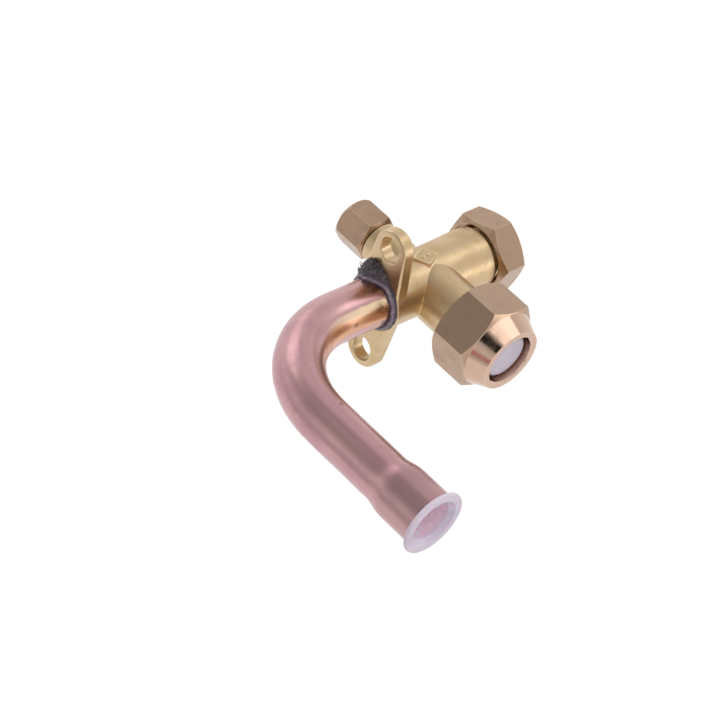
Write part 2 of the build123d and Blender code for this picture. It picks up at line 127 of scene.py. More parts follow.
class Graph:
    """Adds nodes to one node tree and wires them by socket name."""

    def __init__(self, tree: Tree) -> None:
        """Keep the tree and empty it of the nodes it came with."""
        self.tree = tree
        tree.nodes.clear()

    def add(self, kind: str, inputs: Optional[dict[Union[str, int], Value]] = None,
            **settings: object) -> Node:
        """Add a node.

        Args:
            kind: The node's type name, without its leading ShaderNode.
            inputs: Values or sockets for its inputs, by name or index.
            settings: Attributes to set on the node before its inputs are filled.

        Returns:
            The new node.
        """
        name = kind if kind.startswith("Node") else f"ShaderNode{kind}"
        made = self.tree.nodes.new(name)
        for key, setting in settings.items():
            setattr(made, key, setting)
        for key, value in (inputs or {}).items():
            self.feed(made.inputs[key], value)
        return made

    def feed(self, target: Socket, value: Value) -> None:
        """Link a socket into an input, or set the input to a plain value."""
        if isinstance(value, Socket):
            self.tree.links.new(value, target)
        elif isinstance(value, (tuple, list)) and len(value) == 3 and target.type == "RGBA":
            target.default_value = (*value, 1.0)
        else:
            target.default_value = value

    def maths(self, operation: str, *values: Value, clamp: bool = False) -> Socket:
        """Return the result of a Math node."""
        made = self.add("Math", dict(enumerate(values)), operation=operation, use_clamp=clamp)
        return made.outputs[0]

    def blend(self, amount: Value, low: Value, high: Value) -> Socket:
        """Return one colour mixed over another by an amount."""
        made = self.add("Mix", data_type="RGBA")
        self.feed(made.inputs["Factor"], amount)
        self.feed(made.inputs[6], low)
        self.feed(made.inputs[7], high)
        return made.outputs[2]

    def between(self, value: Value, low: Value, high: Value, start: float = 0.0, end: float = 1.0) -> Socket:
        """Return a value carried smoothly from one range to another and held at its ends."""
        spans = {"Value": value, "From Min": low, "From Max": high, "To Min": start, "To Max": end}
        return self.add("MapRange", spans, interpolation_type="SMOOTHSTEP").outputs["Result"]

    def noise(self, scale: float, detail: float = 3.0, spot: Optional[Socket] = None, roughness: float = 0.5,
              distortion: float = 0.0) -> Socket:
        """Return a noise value over the object's own coordinates, or over other ones."""
        made = self.add("TexNoise", {"Vector": self.place() if spot is None else spot, "Scale": scale,
                                     "Detail": detail, "Roughness": roughness, "Distortion": distortion})
        return made.outputs["Fac"]

    def place(self) -> Socket:
        """Return the object's own coordinates."""
        return self.add("TexCoord").outputs["Object"]

    def scaled(self, scale: Value) -> Socket:
        """Return the object's own coordinates times a scale."""
        return self.add("VectorMath", {0: self.place(), "Scale": scale}, operation="SCALE").outputs[0]

    def axes(self) -> bpy.types.NodeOutputs:
        """Return X, Y and Z of the object's own coordinates."""
        return self.add("SeparateXYZ", {0: self.place()}).outputs

    def span(self, x: Value, y: Value) -> Socket:
        """Return the length of a flat vector."""
        flat = self.add("CombineXYZ", {"X": x, "Y": y}).outputs[0]
        return self.add("VectorMath", {0: flat}, operation="LENGTH").outputs["Value"]

    def dot(self, first: Value, second: Value) -> Socket:
        """Return the dot product of two vectors."""
        return self.add("VectorMath", {0: first, 1: second}, operation="DOT_PRODUCT").outputs["Value"]

    def times(self, first: Value, second: Value) -> Socket:
        """Return the product of two values."""
        return self.maths("MULTIPLY", first, second)

    def stain(self, tone: Value, over: Value, mask: Value, share: float) -> Socket:
        """Return a tone with another over it where the mask is, as strong as the share."""
        return self.blend(self.times(mask, share), tone, over)


class SharedEffects:
    """Shader node groups that several finishes place with their own values."""

    def __init__(self) -> None:
        """Build each group once."""
        self.edge_wear_and_highlight = self._edge_wear_and_highlight()
        self.mottle = self._mottle()
        self.skin = self._skin()
        self.turning = self._turning()
        self.specks = self._specks()

    @staticmethod
    def _start(name: str, output: str, **inputs: float) -> tuple[Graph, bpy.types.NodeOutputs]:
        """Make an empty group with number sockets.

        Args:
            name: The group's name.
            output: Name of its output.
            inputs: Starting values of its inputs, with underscores for the spaces in their names.

        Returns:
            A graph over the group, and the sockets that carry its inputs.
        """
        tree = bpy.data.node_groups.new(name, "ShaderNodeTree")
        for key, value in inputs.items():
            label = key.replace("_", " ")
            made = tree.interface.new_socket(label, in_out="INPUT", socket_type="NodeSocketFloat")
            made.default_value = value
        tree.interface.new_socket(output, in_out="OUTPUT", socket_type="NodeSocketFloat")
        graph = Graph(tree)
        return graph, graph.add("NodeGroupInput").outputs

    @staticmethod
    def _finish(graph: Graph, result: Socket) -> Tree:
        """Wire a group's result to its output and return the group."""
        graph.add("NodeGroupOutput", {0: result})
        return graph.tree

    def _edge_wear_and_highlight(self) -> Tree:
        """Return a mask for edge wear and for a painted highlight along creases and corners, broken up by
        noise.
        """
        graph, given = self._start("EdgeWearAndHighlight", "Mask", Radius=0.0006, Gain=4.0, Breakup=0.4, Scale=700.0)
        # Bevel normal against the true normal marks worn corners, and also paints a highlight along concave
        # creases.
        bevel = graph.add("Bevel", {"Radius": given["Radius"]}, samples=6).outputs["Normal"]
        facing = graph.dot(bevel, graph.add("NewGeometry").outputs["Normal"])
        bend = graph.times(graph.maths("SUBTRACT", 1.0, facing), given["Gain"])
        grain = graph.noise(scale=1.0, detail=2.0, spot=graph.scaled(given["Scale"]))
        worn = graph.times(graph.between(grain, low=0.35, high=0.6), given["Breakup"])
        kept = graph.maths("SUBTRACT", 1.0, worn)
        return self._finish(graph, graph.maths("MULTIPLY", bend, kept, clamp=True))

    def _mottle(self) -> Tree:
        """Return a group of soft cloudy patches with a finer break-up at their edges."""
        graph, given = self._start("Mottle", "Mask", Scale=120.0, Low=0.4, High=0.65)
        spot = graph.scaled(given["Scale"])
        wide = graph.noise(scale=1.0, detail=4.0, spot=spot, roughness=0.6, distortion=0.4)
        return self._finish(graph, graph.between(wide, given["Low"], given["High"]))

    def _skin(self) -> Tree:
        """Return a group with the height of a forged or blasted metal skin."""
        graph, given = self._start("MetalSkin", "Height", Scale=900.0, Pits=0.3)
        spot = graph.scaled(given["Scale"])
        fine = graph.noise(scale=1.0, detail=4.0, spot=spot, roughness=0.6)
        cells = graph.add("TexVoronoi", {"Vector": spot, "Scale": 0.45}).outputs["Distance"]
        pits = graph.times(graph.between(cells, low=0.0, high=0.28, start=1.0, end=0.0), given["Pits"])
        return self._finish(graph, graph.maths("SUBTRACT", fine, pits))

    def _turning(self) -> Tree:
        """Return a group of fine tool lines that follow one coordinate."""
        graph, given = self._start("TurningLines", "Height", Along=0.0, Lines_per_metre=6000.0)
        step = graph.times(given["Along"], given["Lines per metre"])
        spot = graph.add("CombineXYZ", {"X": step}).outputs[0]
        return self._finish(graph, graph.noise(scale=1.0, detail=3.0, spot=spot, roughness=0.7))

    def _specks(self) -> Tree:
        """Return a group of small scattered ragged spots, of which Amount is the share that shows."""
        graph, given = self._start("Specks", "Mask", Scale=400.0, Amount=0.1)
        spot = graph.scaled(given["Scale"])
        cells = graph.add("TexVoronoi", {"Vector": spot, "Scale": 1.0})
        chance = graph.add("SeparateColor", {0: cells.outputs["Color"]}).outputs[0]
        chosen = graph.maths("LESS_THAN", chance, given["Amount"])
        torn = graph.noise(scale=3.0, detail=2.0, spot=spot)
        ragged = graph.maths("MULTIPLY_ADD", torn, 0.3, cells.outputs["Distance"])
        core = graph.between(ragged, low=0.28, high=0.42, start=1.0, end=0.0)
        return self._finish(graph, graph.times(chosen, core))


def use_group(graph: Graph, tree: Tree, **inputs: Value) -> Socket:
    """Place a shared group in a graph.

    Args:
        graph: The graph that takes the group.
        tree: The group.
        inputs: Values for its inputs, with underscores for the spaces in their names.

    Returns:
        The group's first output.
    """
    made = graph.add("Group", node_tree=tree)
    for key, value in inputs.items():
        graph.feed(made.inputs[key.replace("_", " ")], value)
    return made.outputs[0]


# ------------------------------------------------------------------ finishes


class Finish:
    """A material that is built once and shared by the pieces that wear it."""

    name = "finish"
    rough: Range = (0.4, 0.6)
    relief: Range = (0.01 * MM, 0.5)

    def __init__(self, effects: SharedEffects) -> None:
        """Keep the shared effects and leave the material until it is asked for."""
        self.effects = effects
        self._material: Optional[bpy.types.Material] = None

    @property
    def material(self) -> bpy.types.Material:
        """The finished material, made on first use."""
        if self._material is None:
            self._material = bpy.data.materials.new(self.name)
            self._material.use_nodes = True
            graph = Graph(self._material.node_tree)
            shader = graph.add("BsdfPrincipled")
            output = graph.add("OutputMaterial")
            graph.feed(output.inputs["Surface"], shader.outputs["BSDF"])
            self.paint(graph, shader)
        return self._material

    def paint(self, graph: Graph, shader: Node) -> None:
        """Fill the shader's inputs. Each finish has its own."""
        raise NotImplementedError

    @staticmethod
    def set(graph: Graph, shader: Node, inputs: dict[str, Value]) -> None:
        """Feed several inputs of the shader by name."""
        for key, value in inputs.items():
            graph.feed(shader.inputs[key], value)

    def bump(self, graph: Graph, height: Socket) -> Socket:
        """Return a normal for a height, by the depth and strength of the finish's relief."""
        depth, strength = self.relief
        made = graph.add("Bump", {"Strength": strength, "Distance": depth, "Height": height})
        return made.outputs["Normal"]


class ForgedBrass(Finish):
    """Pale gold forged skin, satin, browner in cloudy patches, with worn edges and a painted highlight along
    its creases.
    """

    name = "forged_brass"
    light = (0.635, 0.47, 0.285)
    brown = (0.53, 0.365, 0.20)
    tint = (0.60, 0.42, 0.17)
    # Pale gold of worn edges and of the painted crease highlight.
    bright = (0.97, 0.82, 0.56)
    worn_gloss = 0.14
    rough = (0.33, 0.43)
    relief = (0.03 * MM, 0.6)

    def paint(self, graph: Graph, shader: Node) -> None:
        """Fill the shader's inputs."""
        cloud = use_group(graph, self.effects.mottle, Scale=95.0, Low=0.42, High=0.68)
        warm = use_group(graph, self.effects.mottle, Scale=210.0, Low=0.52, High=0.72)
        wear_and_highlight = use_group(graph, self.effects.edge_wear_and_highlight, Radius=0.0009, Gain=7.5, Breakup=0.5, Scale=700.0)
        skin = use_group(graph, self.effects.skin, Scale=1500.0, Pits=0.35)
        speck = use_group(graph, self.effects.specks, Scale=650.0, Amount=0.16)
        tone = graph.stain(self.light, self.brown, cloud, 0.6)
        tone = graph.stain(tone, self.tint, warm, 0.5)
        tone = graph.stain(tone, self.brown, speck, 0.5)
        # Worn edges, and a painted highlight along creases such as the seam of the neck and flare boss.
        colour = graph.blend(wear_and_highlight, tone, self.bright)
        dull = graph.times(wear_and_highlight, self.worn_gloss)
        rough = graph.maths("SUBTRACT", graph.between(cloud, 0.0, 1.0, *self.rough), dull)
        normal = self.bump(graph, skin)
        self.set(graph, shader, {"Base Color": colour, "Metallic": 1.0, "Roughness": rough, "Normal": normal})


class MachinedBrass(Finish):
    """Pinkish brown milled flats with worn corners and a painted highlight on corners and creases, and
    polished turned cones.
    """

    name = "machined_brass"
    light = (0.445, 0.298, 0.205)
    brown = (0.360, 0.232, 0.158)
    # Tone of worn corners and of the painted highlight on corners and creases.
    bright = (0.86, 0.66, 0.48)
    cone = (0.60, 0.41, 0.31)
    cone_start = (-34.7 * MM, -34.5 * MM)
    cone_gloss = 0.13
    rough = (0.24, 0.33)
    relief = (0.01 * MM, 0.45)

    def paint(self, graph: Graph, shader: Node) -> None:
        """Fill the shader's inputs."""
        cloud = use_group(graph, self.effects.mottle, Scale=150.0, Low=0.45, High=0.7)
        wear_and_highlight = use_group(graph, self.effects.edge_wear_and_highlight, Radius=0.0004, Gain=4.0, Breakup=0.3, Scale=1200.0)
        skin = use_group(graph, self.effects.skin, Scale=2600.0, Pits=0.15)
        spot = graph.axes()
        nose = graph.between(spot["Y"], *self.cone_start, start=1.0, end=0.0)
        lines = use_group(graph, self.effects.turning, Along=spot["Y"], Lines_per_metre=9000.0)
        tone = graph.stain(self.light, self.brown, cloud, 0.5)
        tone = graph.blend(nose, tone, self.cone)
        # Worn corners, with a painted highlight along corners and creases.
        colour = graph.blend(wear_and_highlight, tone, self.bright)
        flat_rough = graph.between(cloud, 0.0, 1.0, *self.rough)
        rough = graph.maths("SUBTRACT", flat_rough, graph.times(nose, self.cone_gloss))
        height = graph.maths("ADD", skin, graph.times(lines, graph.times(nose, 0.4)))
        normal = self.bump(graph, height)
        self.set(graph, shader, {"Base Color": colour, "Metallic": 1.0, "Roughness": rough, "Normal": normal})


class Copper(Finish):
    """Bare drawn copper, dull pink with mauve streaks, heat-tinted by the joint, with a painted gold
    highlight and a painted reflection band along the run there, and a few dark marks.
    """

    name = "copper"
    pink = (0.60, 0.360, 0.364)
    mauve = (0.42, 0.210, 0.258)
    orange = (0.74, 0.40, 0.20)
    # Colour of the painted highlight along the run.
    gold = (1.0, 0.76, 0.50)
    scorch = (0.40, 0.18, 0.085)
    burnt = (0.14, 0.065, 0.06)
    socket = (0.40, 0.24, 0.25)
    drawn_out = 0.12
    heat = (-14.0 * MM, -4.0 * MM)
    hot = (-7.5 * MM, -1.5 * MM)
    heat_wander = 16.0 * MM
    tint_wander = 6.0 * MM
    tint_twist = 0.30
    # Bands round the tube near the joint, as (colour, middle angle, width, start and end along X, share):
    # orange, partly heat tint and partly painted reflection under the highlight; gold, a painted highlight;
    # then two scorch bands.
    tint_and_highlight_bands = ((orange, 160.0, 24.0, -0.044, -0.022, 0.75), (gold, 137.0, 12.0, -0.034, -0.010, 0.85),
             (scorch, 94.0, 20.0, -0.016, -0.006, 0.75), (burnt, 104.0, 7.0, -0.013, -0.005, 0.65))
    rough = (0.25, 0.35)
    relief = (0.02 * MM, 0.4)

    def __init__(self, effects: SharedEffects, stub: "CopperStub") -> None:
        """Keep the stub whose route the streaks follow."""
        super().__init__(effects)
        self.stub = stub

    def paint(self, graph: Graph, shader: Node) -> None:
        """Fill the shader's inputs."""
        spot = graph.axes()
        run_x, centre_y = -self.stub.run, -self.stub.bend_radius
        past_run = graph.maths("MINIMUM", graph.maths("SUBTRACT", spot["X"], run_x), 0.0)
        past_bend = graph.maths("MAXIMUM", graph.maths("SUBTRACT", spot["Y"], centre_y), 0.0)
        outward = graph.maths("SUBTRACT", graph.span(past_run, past_bend), self.stub.bend_radius)
        along = graph.maths("ADD", spot["X"], spot["Y"])
        route = {"X": outward, "Y": graph.times(along, self.drawn_out), "Z": spot["Z"]}
        drawn = graph.add("CombineXYZ", route).outputs[0]
        streak = graph.between(graph.noise(190.0, 3.0, drawn, 0.55, 0.3), 0.42, 0.66)
        cloud = use_group(graph, self.effects.mottle, Scale=75.0, Low=0.40, High=0.70)
        uneven = graph.maths("SUBTRACT", graph.noise(130.0, 4.0), 0.5)
        ragged = graph.maths("MULTIPLY_ADD", uneven, self.heat_wander, spot["X"])
        heat = graph.between(ragged, *self.heat)
        hot = graph.between(ragged, *self.hot)
        turned = graph.maths("ARCTAN2", spot["Z"], outward)
        around = graph.maths("MULTIPLY_ADD", uneven, self.tint_twist, turned)
        marks = use_group(graph, self.effects.specks, Scale=260.0, Amount=0.10)
        stain = graph.times(graph.between(graph.noise(320.0, 4.0), 0.52, 0.60), hot)
        end = graph.maths("MULTIPLY_ADD", graph.noise(160.0, 3.0), 0.006, spot["Y"])
        worn_end = graph.between(end, self.stub.socket_edge - 0.002, self.stub.socket_edge + 0.006, 1.0, 0.0)
        tone = graph.stain(self.pink, self.mauve, cloud, 0.45)
        tone = graph.stain(tone, self.mauve, streak, 0.35)
        tone = graph.stain(tone, self.socket, worn_end, 0.45)
        tone = graph.stain(tone, self.orange, heat, 0.20)
        wavy = graph.maths("MULTIPLY_ADD", uneven, self.tint_wander, spot["X"])
        # Lay the bands at fixed angles round the tube: the gold one is a painted highlight, and the orange
        # one is partly a painted reflection.
        for shade, middle, half, start, end, amount in self.tint_and_highlight_bands:
            away = graph.maths("ABSOLUTE", graph.maths("SUBTRACT", around, math.radians(middle)))
            band = graph.between(away, math.radians(half * 0.5), math.radians(half), 1.0, 0.0)
            mask = graph.times(band, graph.between(wavy, start, end))
            tone = graph.stain(tone, shade, mask, amount)
        tone = graph.stain(tone, self.burnt, marks, 0.5)
        colour = graph.stain(tone, self.burnt, stain, 0.7)
        skin = use_group(graph, self.effects.skin, Scale=1200.0, Pits=0.1)
        normal = self.bump(graph, graph.maths("ADD", skin, graph.times(streak, 0.5)))
        rough = graph.between(cloud, 0.0, 1.0, *self.rough)
        self.set(graph, shader, {"Base Color": colour, "Metallic": 1.0, "Roughness": rough, "Normal": normal})


class PalePlastic(Finish):
    """Milky plastic with a lavender cast; down in a cup it is glossier, with painted pink copper light and
    painted white glints.
    """

    name = "pale_plastic"
    shade = (0.60, 0.50, 0.64)
    # Painted pink light that the copper round the cup throws onto its floor.
    pink = (1.0, 0.74, 0.83)
    painted_glint_white = (1.0, 0.95, 0.97)
    cup_radius = (7.0 * MM, 7.5 * MM)
    wet_gloss = 0.2
    dry_ripple = 0.15
    rough = (0.34, 0.46)
    relief = (0.25 * MM, 0.6)

    def __init__(self, effects: SharedEffects, name: str, light: Colour, cup_x: float, cup_start: float,
                 cup_end: float) -> None:
        """Keep the finish's name and tone, where its cup stands, and where in it the painted pink light and
        glints fade in.
        """
        super().__init__(effects)
        self.name = name
        self.light = light
        self.cup_x = cup_x
        self.cup_start = cup_start
        self.cup_end = cup_end

    def paint(self, graph: Graph, shader: Node) -> None:
        """Fill the shader's inputs."""
        spot = graph.axes()
        radius = graph.span(graph.maths("SUBTRACT", spot["X"], self.cup_x), spot["Z"])
        within = graph.between(radius, *self.cup_radius, start=1.0, end=0.0)
        inside = graph.times(graph.between(spot["Y"], self.cup_start, self.cup_end), within)
        cloud = use_group(graph, self.effects.mottle, Scale=110.0, Low=0.4, High=0.7)
        tone = graph.stain(self.light, self.shade, cloud, 0.5)
        # Inside the cup: painted pink copper light, with painted white glints on it.
        painted_glint = graph.between(graph.noise(700.0, 2.0), 0.56, 0.66)
        painted_cup_light = graph.blend(painted_glint, self.pink, self.painted_glint_white)
        colour = graph.stain(tone, painted_cup_light, inside, 0.9)
        dry = graph.between(cloud, 0.0, 1.0, *self.rough)
        rough = graph.maths("SUBTRACT", dry, graph.times(inside, self.wet_gloss))
        ripple = graph.times(graph.noise(420.0, 3.0), graph.maths("ADD", inside, self.dry_ripple))
        normal = self.bump(graph, ripple)
        self.set(graph, shader, {"Base Color": colour, "Roughness": rough, "Normal": normal,
                                 "Subsurface Weight": 0.5, "Subsurface Scale": 0.002})


class BurntFlux(Finish):
    """Burnt flux: a smooth ring with a painted mauve highlight along its ridge, and a near black lump flecked
    with ash.
    """

    name = "burnt_flux"
    ring = (0.078, 0.056, 0.085)
    # Colour of the painted highlight along the ring's ridge.
    ridge = (0.36, 0.28, 0.335)
    lump = (0.026, 0.020, 0.029)
    lump_grey = (0.16, 0.125, 0.145)
    ash = (0.36, 0.30, 0.30)
    lump_start = (9.8 * MM, 10.8 * MM)
    ridge_inner = (8.4 * MM, 8.9 * MM)
    ridge_outer = (9.2 * MM, 9.6 * MM)
    rough = (0.32, 0.68)
    relief = (0.1 * MM, 0.8)

    def paint(self, graph: Graph, shader: Node) -> None:
        """Fill the shader's inputs, by the distance from the tube's axis."""
        cloud = use_group(graph, self.effects.mottle, Scale=520.0, Low=0.38, High=0.66)
        ash = use_group(graph, self.effects.specks, Scale=900.0, Amount=0.22)
        skin = use_group(graph, self.effects.skin, Scale=1100.0, Pits=0.6)
        spot = graph.axes()
        radius = graph.span(spot["Y"], spot["Z"])
        # Painted highlight along the ring's ridge, between two radii, broken up by the mottle.
        inner_side = graph.between(radius, *self.ridge_inner)
        outer_side = graph.between(radius, *self.ridge_outer, start=1.0, end=0.0)
        ridge = graph.times(inner_side, outer_side)
        ridge = graph.times(ridge, graph.between(cloud, 0.0, 1.0, 0.55, 1.0))
        ring = graph.blend(ridge, self.ring, self.ridge)
        lump = graph.blend(cloud, self.lump, self.lump_grey)
        tone = graph.blend(graph.between(radius, *self.lump_start), ring, lump)
        rough = graph.between(cloud, 0.0, 1.0, *self.rough)
        self.set(graph, shader, {"Base Color": graph.stain(tone, self.ash, ash, 0.7), "Roughness": rough,
                                 "Normal": self.bump(graph, skin)})


class PlainMetal(Finish):
    """Small turned or drawn metal piece in one mottled tone."""

    metallic = 1.0
    grain = 3000.0
    pits = 0.1
    rougher = 1.4

    def __init__(self, effects: SharedEffects, name: str, light: Colour, dark: Colour, rough: float) -> None:
        """Keep the finish's own tones, and how rough it is at least."""
        super().__init__(effects)
        self.name = name
        self.light = light
        self.dark = dark
        self.rough = (rough, rough * self.rougher)

    def paint(self, graph: Graph, shader: Node) -> None:
        """Fill the shader's inputs."""
        cloud = use_group(graph, self.effects.mottle, Scale=300.0, Low=0.4, High=0.7)
        skin = use_group(graph, self.effects.skin, Scale=self.grain, Pits=self.pits)
        self.set(graph, shader, {"Base Color": graph.blend(cloud, self.light, self.dark),
                                 "Metallic": self.metallic,
                                 "Roughness": graph.between(cloud, 0.0, 1.0, *self.rough),
                                 "Normal": self.bump(graph, skin)})


class SoftPart(PlainMetal):
    """Rubber or soft plastic seal in one mottled tone."""

    metallic = 0.0
    grain = 2500.0
    pits = 0.2
    rougher = 1.3


class Finishes:
    """Every finish on the valve."""

    def __init__(self, stub: "CopperStub") -> None:
        """Build the shared effects and then the finishes.

        Args:
            stub: The copper stub, whose route its finish follows.
        """
        effects = SharedEffects()
        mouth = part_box("tube_plug")[0][1]
        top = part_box("flare_plug")[1][1]
        self.forged = ForgedBrass(effects)
        self.machined = MachinedBrass(effects)
        self.copper = Copper(effects, stub)
        leg_x = -(stub.run + stub.bend_radius)
        self.plug = PalePlastic(effects, "pale_plastic", (0.70, 0.62, 0.72), leg_x, top, top + 10.0 * MM)
        self.cup = PalePlastic(effects, "cup_plastic", (0.80, 0.72, 0.84), leg_x, mouth + 1.1 * MM,
                               mouth + 3.6 * MM)
        self.flux = BurntFlux(effects)
        self.turned = PlainMetal(effects, "turned_brass", (0.78, 0.60, 0.34), (0.64, 0.46, 0.25), 0.22)
        self.washer = PlainMetal(effects, "soft_copper", (0.80, 0.47, 0.33), (0.62, 0.34, 0.24), 0.3)
        self.braze = PlainMetal(effects, "braze_alloy", (0.72, 0.55, 0.34), (0.5, 0.36, 0.22), 0.3)
        self.steel = PlainMetal(effects, "spring_steel", (0.60, 0.60, 0.62), (0.42, 0.42, 0.44), 0.25)
        self.rubber = SoftPart(effects, "black_rubber", (0.02, 0.02, 0.02), (0.05, 0.05, 0.05), 0.5)
        self.seal = SoftPart(effects, "white_seal", (0.86, 0.86, 0.84), (0.74, 0.74, 0.72), 0.4)


# ------------------------------------------------------------------ studio


@dataclass(frozen=True)
class SoftBox:
    """One rectangular soft lamp that faces the object."""

    name: str
    place: Vector
    width: float
    depth: float
    radiance: float

    def hang(self, aim: Vector) -> None:
        """Hang the lamp and turn it towards a point.

        Args:
            aim: The point that the lamp faces.
        """
        lamp = bpy.data.lights.new(self.name, "AREA")
        lamp.shape = "RECTANGLE"
        lamp.size = self.width
        lamp.size_y = self.depth
        lamp.energy = self.radiance * math.pi * self.width * self.depth
        holder = bpy.data.objects.new(self.name, lamp)
        holder.location = self.place
        holder.rotation_euler = (self.place - aim).to_track_quat("Z", "Y").to_euler()
        bpy.context.collection.objects.link(holder)


@dataclass
class Studio:
    """White sweep with a greyer room over it, soft lamps and the camera."""

    floor_drop: float = 0.09
    floor_half: float = 4.0
    floor_glow: float = 0.80
    table_edge: Range = (-0.35, -0.25)
    beyond_table: float = 0.55
    wall_grey: float = 0.84
    wall_side: Range = (-0.70, -0.30)
    window_side: Range = (-0.05, 0.30)
    floor_tone: float = 0.30
    floor_bounce: float = 0.80
    room_light: float = 0.62
    room_grey: float = 0.50
    window_grey: float = 0.85
    sweep_top: Range = (0.15, 0.65)
    stand_way: Vector = Vector((-0.665, -0.362, 0.650))
    stand_core: float = math.radians(11.0)
    stand_edge: float = math.radians(14.5)
    stand_depth: float = 0.95
    azimuth: float = math.radians(-52.69)
    elevation: float = math.radians(41.27)
    roll: float = math.radians(16.33)
    distance: float = 0.86116
    aim: Vector = Vector((-0.02199, -0.01761, 0.0))
    lens: float = 146.46
    sensor: float = 36.0
    lamps: tuple[SoftBox, ...] = (
        SoftBox("overhead_box", Vector((0.22, -0.44, 1.10)), width=1.5, depth=0.55, radiance=1.15),
        SoftBox("low_box", Vector((0.90, -1.20, 0.10)), width=1.0, depth=0.35, radiance=1.4),
        SoftBox("back_box", Vector((0.20, 1.50, 0.90)), width=1.1, depth=0.7, radiance=1.0),
    )

    def build(self) -> None:
        """Make the floor, world, lamps and camera."""
        bpy.context.scene.view_settings.view_transform = "Standard"
        self._floor()
        self._world()
        self._camera()
        for lamp in self.lamps:
            lamp.hang(self.aim)

    @staticmethod
    def _seen(graph: Graph) -> Socket:
        """Return 1 for camera, mirror and glass rays and 0 for the rest."""
        path = graph.add("LightPath").outputs
        mirrored = graph.maths("MAXIMUM", path["Is Glossy Ray"], path["Is Transmission Ray"])
        return graph.maths("MAXIMUM", path["Is Camera Ray"], mirrored)

    def _floor(self) -> None:
        """Lay a wide white floor under the object, which still takes its shadow."""
        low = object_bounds()[0][2] - self.floor_drop
        mesh = bpy.data.meshes.new("floor")
        half = self.floor_half
        corners = [(-half, -half, low), (half, -half, low), (half, half, low), (-half, half, low)]
        mesh.from_pydata(corners, [], [(0, 1, 2, 3)])
        floor = bpy.data.objects.new("floor", mesh)
        bpy.context.collection.objects.link(floor)
        material = bpy.data.materials.new("white_floor")
        material.use_nodes = True
        graph = Graph(material.node_tree)
        paper = graph.add("BsdfDiffuse", {"Color": (self.floor_tone,) * 3}).outputs[0]
        across = graph.axes()["X"]
        table = graph.between(across, *self.table_edge, start=self.beyond_table, end=1.0)
        lit = graph.maths("MAXIMUM", graph.add("LightPath").outputs["Is Camera Ray"], table)
        strength = graph.times(lit, self.floor_glow)
        glow = graph.add("Emission", {"Color": WHITE, "Strength": strength}).outputs[0]
        shown = graph.add("AddShader", {0: paper, 1: glow}).outputs[0]
        plain = graph.add("BsdfDiffuse", {"Color": (self.floor_bounce,) * 3}).outputs[0]
        mixed = graph.add("MixShader", {0: self._seen(graph), 1: plain, 2: shown}).outputs[0]
        graph.add("OutputMaterial", {"Surface": mixed})
        mesh.materials.append(material)
        floor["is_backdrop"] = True

    def _world(self) -> None:
        """Light the room evenly. The camera sees it white, and metal sees a sweep and a ceiling."""
        world = bpy.data.worlds.new("studio")
        world.use_nodes = True
        graph = Graph(world.node_tree)
        way = graph.add("TexCoord").outputs["Generated"]
        parts = graph.add("SeparateXYZ", {0: way}).outputs
        ceiling = graph.between(parts["X"], *self.window_side, start=self.room_grey, end=self.window_grey)
        above = graph.between(parts["Z"], *self.sweep_top)
        sweep = graph.maths("MULTIPLY_ADD", above, graph.maths("SUBTRACT", ceiling, 1.0), 1.0)
        stand = graph.dot(way, self.stand_way.normalized())
        dark = graph.between(stand, math.cos(self.stand_edge), math.cos(self.stand_core))
        gloom = graph.maths("MULTIPLY_ADD", dark, -self.stand_depth, 1.0)
        wall = graph.between(parts["X"], *self.wall_side, start=self.wall_grey, end=1.0)
        room = graph.times(graph.times(sweep, wall), gloom)
        path = graph.add("LightPath").outputs
        shown = graph.maths("MAXIMUM", path["Is Camera Ray"], room)
        light = graph.add("Background", {"Color": WHITE, "Strength": self.room_light}).outputs[0]
        sight = graph.add("Background", {"Color": WHITE, "Strength": shown}).outputs[0]
        mixed = graph.add("MixShader", {0: self._seen(graph), 1: light, 2: sight}).outputs[0]
        graph.add("OutputWorld", {"Surface": mixed})
        bpy.context.scene.world = world

    def _camera(self) -> None:
        """Set the camera down at its angle."""
        camera = bpy.data.cameras.new("camera")
        camera.lens = self.lens
        camera.sensor_width = self.sensor
        camera.clip_start = 0.01
        camera.clip_end = 20.0
        holder = bpy.data.objects.new("camera", camera)
        level = math.cos(self.elevation)
        toward_x = math.sin(self.azimuth) * level
        toward_y = -math.cos(self.azimuth) * level
        away = Vector((toward_x, toward_y, math.sin(self.elevation)))
        holder.location = self.aim + away * self.distance
        turn = away.to_track_quat("Z", "Y").to_matrix().to_4x4() @ Matrix.Rotation(self.roll, 4, "Z")
        holder.rotation_euler = turn.to_euler()
        bpy.context.collection.objects.link(holder)
        bpy.context.scene.camera = holder


# ------------------------------------------------------------------ assemblies


def dress(finish: Finish, *nodes: str) -> None:
    """Give nodes of the frame their finish.

    Args:
        finish: The finish that they wear.
        nodes: Names of nodes.
    """
    for node in nodes:
        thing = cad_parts[node]
        thing.data.materials.clear()
        thing.data.materials.append(finish.material)
        log.info("%s wears %s", node, finish.name)


def add_piece(name: str, points: Sequence[Vector], faces: Sequence[Face], finish: Finish, body: str,
              smooth: bool = True) -> bpy.types.Object:
    """Make a mesh piece that rides on a body.

    Args:
        name: The piece's name.
        points: Its points, in the object's frame.
        faces: Its faces, as indices of points.
        finish: What it wears.
        body: The body that carries it.
        smooth: Whether its faces are shaded smooth.

    Returns:
        The new piece.
    """
    mesh = bpy.data.meshes.new(name)
    mesh.from_pydata(points, [], faces)
    mesh.materials.append(finish.material)
    shape = bmesh.new()
    shape.from_mesh(mesh)
    bmesh.ops.recalc_face_normals(shape, faces=shape.faces)
    shape.to_mesh(mesh)
    shape.free()
    for face in mesh.polygons:
        face.use_smooth = smooth
    piece = bpy.data.objects.new(name, mesh)
    bpy.context.collection.objects.link(piece)
    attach(piece, body)
    log.info("%s rides on %s", name, body)
    return piece


